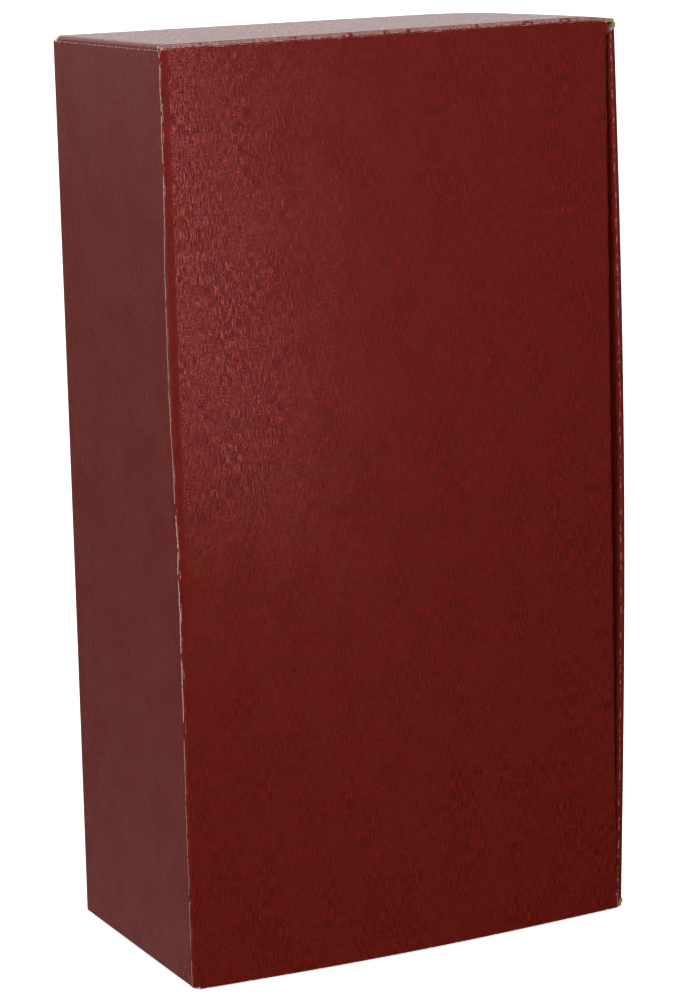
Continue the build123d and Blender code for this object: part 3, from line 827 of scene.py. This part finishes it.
class WINEBOX_OT_back(bpy.types.Operator):
    """Build the back, with its slots for the locking tabs."""

    bl_idname = "wine_box.back"
    bl_label = "Back"

    def execute(self, context):
        printed = linen_paper("linen_paper_back")
        board = Board((0, BACK_INNER_Y, 0), RIGHT, UP, REAR, lambda x, z: (u_of_back(x), z))
        reach = TAB_LENGTH / 2 + SLOT_CLEARANCE
        slots = []
        for x in end_tabs():
            for z in (top_inner_low.z, HEIGHT - top_inner_low.z - BOARD):
                slots.append((x - reach, x + reach, z - SLOT_CLEARANCE, z + BOARD + SLOT_CLEARANCE))
        for z in closing_tabs():
            slots.append((LINED_X - BOARD - SLOT_CLEARANCE, LINED_X + SLOT_CLEARANCE, z - reach, z + reach))
        low_z, high_z = HEIGHT - TOP_BOARD_Z, TOP_BOARD_Z
        bm = bmesh.new()
        add_flat(bm, board, rectangle(HINGE_INNER_X, CLOSING_BOARD_X, low_z, high_z), BACK_STEP, slots)
        add_edge_fold(bm, board, ACROSS, -1, HINGE_INNER_X, (low_z, high_z), REAR_STEP)
        add_edge_fold(bm, board, ACROSS, 1, CLOSING_BOARD_X, (closing_low.z, closing_high.z), REAR_STEP)
        for side, limit in ((-1, low_z), (1, high_z)):
            add_edge_fold(bm, board, UPWARDS, side, limit, (end_flap_low.x, CLOSING_X), BACK_STEP)
        finish_piece(bm, "back_board", ["back_panel"], printed)
        return {"FINISHED"}


class WINEBOX_OT_closing_side(bpy.types.Operator):
    """Build the closing side: outer panel, rolled edge, inner panel and corner flaps."""

    bl_idname = "wine_box.closing_side"
    bl_label = "Closing side"

    def execute(self, context):
        printed = linen_paper("linen_paper_closing_side", (
            rubbed("u", U_ROLL - 0.1 * MM, 0.26, 0.2, 0.5, 2.6, 3.9, 0.55),
            rubbed("u", U_ROLL_INNER + 0.5 * MM, 0.14, 0.2, 0.42, 3.4, 14.2, 0.5),
        ))
        self.add_outer_panel(printed)
        self.add_rolled_edge(printed)
        self.add_inner_panel(printed)
        self.add_corner_flaps(printed)
        return {"FINISHED"}

    def finish(self, bm, part, node, printed, flipped=False):
        """Finish one piece of the closing side, which stands for a node."""
        finish_piece(
            bm, f"closing_side_{part}_board", [f"closing_side_{node}"], printed,
            flipped=flipped, warp=warp_closing_side,
        )

    def add_outer_panel(self, printed):
        """The outside of the wall, folded from the back and into the rolled edge and the flaps."""
        board = Board((CLOSING_BOARD_X, 0, 0), REAR, UP, RIGHT, lambda y, z: (u_of_closing(y), z))
        low_z, high_z = closing_low.z + BOARD, closing_high.z - BOARD
        flap_y = closing_flap_low.y
        bm = bmesh.new()
        add_flat(bm, board, rectangle(ROLL_INNER_Y, BACK_INNER_Y, low_z, high_z), WALL_STEP)
        add_edge_fold(bm, board, ACROSS, -1, ROLL_INNER_Y, (STRIP_LOW_Z, STRIP_HIGH_Z), WALL_STEP)
        add_edge_fold(bm, board, ACROSS, 1, BACK_INNER_Y, (low_z, high_z), REAR_STEP)
        for side, limit in ((1, high_z), (-1, low_z)):
            add_edge_fold(bm, board, UPWARDS, side, limit, (flap_y, BACK_INNER_Y), WALL_STEP)
        # The corners are cut straight and reach the end walls
        for corner in (
            rectangle(ROLL_Y, flap_y, high_z, TOP_BOARD_Z),
            rectangle(ROLL_Y, flap_y, BOARD, low_z),
            rectangle(ROLL_Y, ROLL_INNER_Y, STRIP_HIGH_Z, high_z),
            rectangle(ROLL_Y, ROLL_INNER_Y, low_z, STRIP_LOW_Z),
        ):
            add_fold(bm, board, corner, [], core=MEDIUM)
        self.finish(bm, "outer", "outer_panel", printed)

    def add_rolled_edge(self, printed):
        """The narrow strip beside the lid, with slanted ends."""
        board = Board(
            (0, ROLL_INNER_Y, 0), RIGHT, UP, FRONT,
            lambda x, z: (U_ROLL - HALF_ARC - (CLOSING_BOARD_X - x), z),
        )
        low_x, high_x = LINED_X - HALF_ARC, CLOSING_BOARD_X + HALF_ARC
        outline = [
            (low_x, INNER_LOW_Z), (high_x, STRIP_LOW_Z), (high_x, STRIP_HIGH_Z), (low_x, INNER_HIGH_Z)
        ]
        folds = [(ACROSS, -1, LINED_X, SQUARE / 2), (ACROSS, 1, CLOSING_BOARD_X, SQUARE / 2)]
        bm = bmesh.new()
        add_fold(bm, board, outline, folds, LID_STEP)
        self.finish(bm, "roll", "roll_strip", printed)

    def add_inner_panel(self, printed):
        """The inside of the wall, with three tabs that lock into the back."""
        board = Board(
            (LINED_X, 0, 0), REAR, UP, LEFT,
            lambda y, z: (U_ROLL_INNER - HALF_ARC - (y - ROLL_INNER_Y), z),
        )
        bm = bmesh.new()
        add_flat(bm, board, rectangle(ROLL_INNER_Y, BACK_INNER_Y, INNER_LOW_Z, INNER_HIGH_Z), WALL_STEP)
        add_edge_fold(bm, board, ACROSS, -1, ROLL_INNER_Y, (INNER_LOW_Z, INNER_HIGH_Z), WALL_STEP)
        half = TAB_LENGTH / 2
        for z in closing_tabs():
            add_flat(bm, board, [
                (BACK_INNER_Y, z - half), (inner_high.y, z - half + TAB_TAPER),
                (inner_high.y, z + half - TAB_TAPER), (BACK_INNER_Y, z + half),
            ], TAB_STEP)
        self.finish(bm, "inner", "inner_panel", printed)

    def add_corner_flaps(self, printed):
        """The flaps in the hollows of the end walls."""
        front, back, free = closing_flap_low.y, closing_flap_high.y, closing_flap_low.x
        v_fold = closing_high.z - BOARD + 2 * HALF_ARC
        board = Board(
            (0, 0, closing_flap_low.z), RIGHT, REAR, UP,
            lambda x, y: (u_of_closing(y), v_fold + CLOSING_BOARD_X - x),
        )
        near = FLAP_TAPER / (CLOSING_X - free) * (CLOSING_X - CLOSING_BOARD_X)
        outline = rounded([
            (free, front + FLAP_TAPER), (CLOSING_BOARD_X, front + near),
            (CLOSING_BOARD_X, back - near), (free, back - FLAP_TAPER),
        ], {0: FLAP_CORNER, 3: FLAP_CORNER})
        for end in ("top", "bottom"):
            bm = bmesh.new()
            add_flat(bm, board, outline, WALL_STEP, flutes_up=False)
            add_edge_fold(bm, board, ACROSS, 1, CLOSING_BOARD_X, (front + near, back - near), WALL_STEP)
            self.finish(bm, f"{end}_flap", f"{end}_corner_flap", printed, end == "bottom")


class WINEBOX_OT_end_walls(bpy.types.Operator):
    """Build the top and bottom ends: outer panel, rolled edge, inner panel and corner flap."""

    bl_idname = "wine_box.end_walls"
    bl_label = "Top and bottom ends"

    def execute(self, context):
        printed = linen_paper("linen_paper_end_walls", (
            rubbed("v", V_ROLL + 0.4 * MM, 0.9, 0.1, 1.0, 9.0, 23.5, 0.26),
            rubbed("v", V_ROLL + 0.9 * MM, 0.18, 0.2, 0.5, 3.0, 6.3, 0.6),
            rubbed("v", V_ROLL + 0.1 * MM, 0.14, 0.2, 0.3, 2.2, 16.4, 0.5),
            rubbed("v", V_BACK_TOP, 0.15, 0.1, 0.2, 5.0, 31.0, 0.5),
        ))
        for end in ("top", "bottom"):
            self.add_outer_panel(printed, end)
            self.add_rolled_edge(printed, end)
            self.add_inner_panel(printed, end)
            self.add_corner_flap(printed, end)
        return {"FINISHED"}

    def finish(self, bm, part, node, printed, end):
        """Finish one piece of an end, which stands for a node. The bottom is the top turned over."""
        finish_piece(bm, f"{end}_end_{part}_board", [f"{end}_end_{node}"], printed, flipped=end == "bottom")

    def add_outer_panel(self, printed, end):
        """The outside of the end, folded from the back and into the rolled edge and the flap."""
        board = Board((0, 0, TOP_BOARD_Z), RIGHT, REAR, UP, lambda x, y: (u_of_back(x), v_of_end(y)))
        flap_x = end_flap_low.x + BOARD
        bm = bmesh.new()
        add_flat(bm, board, rectangle(flap_x, CLOSING_X, ROLL_INNER_Y, BACK_INNER_Y), WALL_STEP)
        # The strip's corner is cut straight
        add_fold(bm, board, rectangle(END_ROLL_X, CLOSING_X, ROLL_Y, ROLL_INNER_Y), [], core=MEDIUM)
        add_edge_fold(bm, board, ACROSS, -1, flap_x, (ROLL_INNER_Y, BACK_INNER_Y), WALL_STEP)
        add_edge_fold(bm, board, UPWARDS, -1, ROLL_INNER_Y, (flap_x, END_ROLL_X), LID_STEP)
        add_fold(
            bm, board, rectangle(flap_x - HALF_ARC, flap_x, ROLL_INNER_Y - HALF_ARC, ROLL_INNER_Y),
            [(ACROSS, -1, flap_x, SQUARE / 2), (UPWARDS, -1, ROLL_INNER_Y, SQUARE / 2)],
        )
        add_edge_fold(bm, board, UPWARDS, 1, BACK_INNER_Y, (flap_x, CLOSING_X), WALL_STEP)
        self.finish(bm, "outer", "outer_panel", printed, end)

    def add_rolled_edge(self, printed, end):
        """The narrow strip over the lid's edge."""
        board = Board(
            (0, ROLL_INNER_Y, 0), RIGHT, UP, FRONT,
            lambda x, z: (u_of_back(x), V_ROLL + HALF_ARC + (TOP_BOARD_Z - z)),
        )
        strip = rectangle(end_flap_low.x, END_ROLL_X, LINED_Z - HALF_ARC, TOP_BOARD_Z + HALF_ARC)
        folds = [(UPWARDS, -1, LINED_Z, SQUARE / 2), (UPWARDS, 1, TOP_BOARD_Z, SQUARE / 2)]
        bm = bmesh.new()
        add_fold(bm, board, strip, folds, LID_STEP)
        self.finish(bm, "roll", "roll_strip", printed, end)

    def add_inner_panel(self, printed, end):
        """The inside of the end, with two tabs that lock into the back."""
        board = Board(
            (0, 0, LINED_Z), RIGHT, REAR, DOWN,
            lambda x, y: (u_of_back(x), V_ROLL_INNER + HALF_ARC + (y - ROLL_INNER_Y)),
        )
        low_x = top_inner_low.x
        bm = bmesh.new()
        add_flat(bm, board, rectangle(low_x, END_ROLL_X, ROLL_INNER_Y, BACK_INNER_Y), BACK_STEP)
        add_edge_fold(bm, board, UPWARDS, -1, ROLL_INNER_Y, (low_x, END_ROLL_X), BACK_STEP)
        half = TAB_LENGTH / 2
        for x in end_tabs():
            add_flat(bm, board, [
                (x - half, BACK_INNER_Y), (x + half, BACK_INNER_Y),
                (x + half - TAB_TAPER, top_inner_high.y), (x - half + TAB_TAPER, top_inner_high.y),
            ], TAB_STEP)
        self.finish(bm, "inner", "inner_panel", printed, end)

    def add_corner_flap(self, printed, end):
        """The flap glued behind the hinge side."""
        front, back, free = end_flap_low.y, end_flap_high.y, end_flap_low.z
        u_fold = u_of_back(end_flap_high.x) + HALF_ARC
        board = Board(
            (end_flap_high.x, 0, 0), REAR, UP, LEFT,
            lambda y, z: (u_fold + HALF_ARC + TOP_BOARD_Z - z, v_of_end(y)),
        )
        near = FLAP_TAPER / (HEIGHT - free) * BOARD
        outline = rounded([
            (front + FLAP_TAPER, free), (back - FLAP_TAPER, free),
            (back - near, TOP_BOARD_Z), (front + near, TOP_BOARD_Z),
        ], {0: FLAP_CORNER, 1: FLAP_CORNER})
        bm = bmesh.new()
        add_flat(bm, board, outline, WALL_STEP, flutes_up=False)
        add_edge_fold(bm, board, UPWARDS, 1, TOP_BOARD_Z, (front + near, back - near), WALL_STEP)
        self.finish(bm, "flap", "corner_flap", printed, end)


class WINEBOX_OT_divider(bpy.types.Operator):
    """Build the folded divider between the bottles."""

    bl_idname = "wine_box.divider"
    bl_label = "Bottle divider"

    def execute(self, context):
        ends = (crest_low.z, crest_high.z)
        middle = (crest_low.x + crest_high.x) / 2
        crest_inner = crest_low.y + BOARD
        foot_front = BACK_INNER_Y - BOARD
        near, far = middle - left_web_high.x, middle - left_web_low.x
        for side, name in ((-1, "left"), (1, "right")):
            bm = bmesh.new()
            web = Board((middle + side * near, 0, 0), REAR, UP, (side, 0, 0), lambda y, z: (y, z))
            add_flat(bm, web, rectangle(crest_inner, foot_front, *ends), DIVIDER_STEP)
            add_edge_fold(bm, web, ACROSS, -1, crest_inner, ends, DIVIDER_STEP)
            turned = Board((middle + side * far, 0, 0), REAR, UP, (-side, 0, 0), lambda y, z: (y, z))
            add_edge_fold(bm, turned, ACROSS, 1, foot_front, ends, DIVIDER_STEP)
            self.finish(bm, f"{name}_web")
            bm = bmesh.new()
            foot = Board((middle, foot_front, 0), (side, 0, 0), UP, REAR, lambda a, z: (a, z))
            add_flat(bm, foot, rectangle(far, middle - left_foot_low.x, *ends), DIVIDER_STEP)
            add_edge_fold(bm, foot, ACROSS, -1, far, ends, DIVIDER_STEP)
            self.finish(bm, f"{name}_foot")
        bm = bmesh.new()
        crest = Board((0, crest_inner, 0), RIGHT, UP, FRONT, lambda x, z: (x, z))
        left, right = middle - near, middle + near
        folds = [(ACROSS, -1, left, SQUARE / 2), (ACROSS, 1, right, SQUARE / 2)]
        add_fold(bm, crest, rectangle(left - HALF_ARC, right + HALF_ARC, *ends), folds, DIVIDER_STEP)
        self.finish(bm, "crest")
        return {"FINISHED"}

    def finish(self, bm, part):
        """Finish one part of the divider, which is plain kraft on both faces."""
        kraft = stock("kraft_liner")
        finish_piece(bm, f"divider_{part}_board", [f"divider_{part}"], kraft)


CAMERA_PLACE = (-0.50769, -1.04992, 0.38527)
CAMERA_TURN = math.radians(-25.7253)
CAMERA_DROP = math.radians(10.8606)
CAMERA_ROLL = math.radians(-1.4642)
FOCAL_PIXELS = 3155.8
LONG_SIDE_PIXELS = 1000
SENSOR_MM = 36.0
FLOOR_REACH = 30.0


class WINEBOX_OT_stage(bpy.types.Operator):
    """Build the floor, the light and the camera."""

    bl_idname = "wine_box.stage"
    bl_label = "Stage"

    def execute(self, context):
        self.add_floor()
        self.add_light()
        self.add_camera()
        context.scene.view_settings.view_transform = "Standard"
        return {"FINISHED"}

    def add_floor(self):
        """A seamless pale floor."""
        material, tree = new_material("seamless_paper")
        colour = linear(bpy.context.scene.wine_box_colours.floor)
        shader = add(tree, "ShaderNodeBsdfPrincipled", {
            "Base Color": colour, "Roughness": 0.9, "Emission Color": colour, "Emission Strength": 0.8})
        add(tree, "ShaderNodeOutputMaterial", {"Surface": shader})
        mesh = bpy.data.meshes.new("floor")
        bm = bmesh.new()
        bmesh.ops.create_grid(bm, x_segments=1, y_segments=1, size=FLOOR_REACH)
        # The carton stands flat on it, so the floor rises as the carton's bottom end does
        rise = bpy.context.scene.wine_box_sizes.end_rise / (CLOSING_X - HINGE_X)
        for vertex in bm.verts:
            vertex.co.z = rise * vertex.co.x
        bm.to_mesh(mesh)
        bm.free()
        mesh.materials.append(material)
        floor = bpy.data.objects.new("floor", mesh)
        bpy.context.scene.collection.objects.link(floor)
        # The photograph's floor neither mirrors in the board nor lights it from below
        floor.visible_glossy = False
        floor.visible_diffuse = False

    def add_light(self):
        """A dark room with a bright ceiling and backdrop, and three soft boxes."""
        world = bpy.data.worlds.new("studio")
        bpy.context.scene.world = world
        world.use_nodes = True
        tree = world.node_tree
        tree.nodes.clear()
        coordinates = add(tree, "ShaderNodeTexCoord")
        direction = add(tree, "ShaderNodeSeparateXYZ", {0: coordinates.outputs["Generated"]})
        # Each band brightens between two heights, or depths for the half of the room behind the box
        ceiling, behind, backdrop, ground = [
            add(tree, "ShaderNodeMapRange", {
                "Value": direction.outputs[axis], "From Min": start, "From Max": end,
                "To Min": dark, "To Max": bright,
            }, interpolation_type="SMOOTHSTEP")
            for axis, start, end, dark, bright in (
                ("Z", 0.3, 0.7, 0.02, 0.9), ("Y", 0.2, 0.6, 0.0, 1.0),
                ("Z", -0.02, 0.05, 0.07, 1.04), ("Z", -0.24, -0.36, 0.0, 0.38),
            )
        ]
        backdrop = add(tree, "ShaderNodeMath", {0: backdrop, 1: ground}, operation="MAXIMUM")
        backdrop = add(tree, "ShaderNodeMath", {0: behind, 1: backdrop}, operation="MULTIPLY")
        brightness = add(tree, "ShaderNodeMath", {0: ceiling, 1: backdrop}, operation="MAXIMUM")
        background = add(tree, "ShaderNodeBackground", {"Color": (1, 1, 1, 1), "Strength": brightness})
        add(tree, "ShaderNodeOutputWorld", {"Surface": background})
        self.add_soft_box("soft_box_front_left", (-0.45, -0.95, 0.8), (0, LID_Y, 0.2), (0.5, 0.5), 9.0)
        self.add_soft_box("soft_box_left", (-1.2, 0.15, 0.6), (HINGE_X, 0, 0.17), (0.6, 0.6), 4.5)
        self.add_soft_box("soft_box_right", (0.16, -0.85, 0.21), (-0.07, LID_Y, 0.26), (0.2, 0.36), 1.1)

    def add_soft_box(self, name, place, aim, size, power):
        """One soft box, turned towards the place that it lights."""
        light = bpy.data.lights.new(name, "AREA")
        light.shape = "RECTANGLE"
        light.size, light.size_y = size
        light.energy = power
        lamp = bpy.data.objects.new(name, light)
        bpy.context.scene.collection.objects.link(lamp)
        lamp.location = place
        lamp.rotation_euler = (Vector(aim) - Vector(place)).to_track_quat("-Z", "Y").to_euler()

    def add_camera(self):
        """The photograph's viewpoint and lens."""
        data = bpy.data.cameras.new("camera")
        data.sensor_width = SENSOR_MM
        data.lens = FOCAL_PIXELS / LONG_SIDE_PIXELS * SENSOR_MM
        camera = bpy.data.objects.new("camera", data)
        bpy.context.scene.collection.objects.link(camera)
        level_reach = math.cos(CAMERA_DROP)
        forward = Vector((
            -math.sin(CAMERA_TURN) * level_reach, math.cos(CAMERA_TURN) * level_reach, -math.sin(CAMERA_DROP)
        ))
        level = forward.cross(Vector((0, 0, 1))).normalized()
        upright = level.cross(forward)
        right = level * math.cos(CAMERA_ROLL) + upright * math.sin(CAMERA_ROLL)
        up = upright * math.cos(CAMERA_ROLL) - level * math.sin(CAMERA_ROLL)
        axes = Matrix((right, up, -forward)).transposed().to_4x4()
        camera.matrix_world = Matrix.Translation(CAMERA_PLACE) @ axes
        bpy.context.scene.camera = camera


class WINEBOX_PT_panel(bpy.types.Panel):
    """The wine box's pieces and sizes."""

    bl_idname = "WINEBOX_PT_panel"
    bl_label = "Wine box"
    bl_space_type = "VIEW_3D"
    bl_region_type = "UI"
    bl_category = "Wine box"

    def draw(self, context):
        for operator in OPERATORS:
            self.layout.operator(operator.bl_idname)
        for group in (context.scene.wine_box_sizes, context.scene.wine_box_colours):
            for name in group.bl_rna.properties.keys():
                if name not in ("rna_type", "name"):
                    self.layout.prop(group, name)


OPERATORS = (
    WINEBOX_OT_lid,
    WINEBOX_OT_creases,
    WINEBOX_OT_hinge_side,
    WINEBOX_OT_back,
    WINEBOX_OT_closing_side,
    WINEBOX_OT_end_walls,
    WINEBOX_OT_divider,
    WINEBOX_OT_stage,
)
GROUPS = (WineBoxSizes, WineBoxColours)


def register():
    for part in (*GROUPS, *OPERATORS, WINEBOX_PT_panel):
        bpy.utils.register_class(part)
    bpy.types.Scene.wine_box_sizes = bpy.props.PointerProperty(type=WineBoxSizes)
    bpy.types.Scene.wine_box_colours = bpy.props.PointerProperty(type=WineBoxColours)


def unregister():
    del bpy.types.Scene.wine_box_colours
    del bpy.types.Scene.wine_box_sizes
    for part in reversed((*GROUPS, *OPERATORS, WINEBOX_PT_panel)):
        bpy.utils.unregister_class(part)


def main():
    """Build every piece in order."""
    register()
    bpy.ops.wine_box.lid()
    bpy.ops.wine_box.creases()
    bpy.ops.wine_box.hinge_side()
    bpy.ops.wine_box.back()
    bpy.ops.wine_box.closing_side()
    bpy.ops.wine_box.end_walls()
    bpy.ops.wine_box.divider()
    bpy.ops.wine_box.stage()


if __name__ == "__main__":
    main()
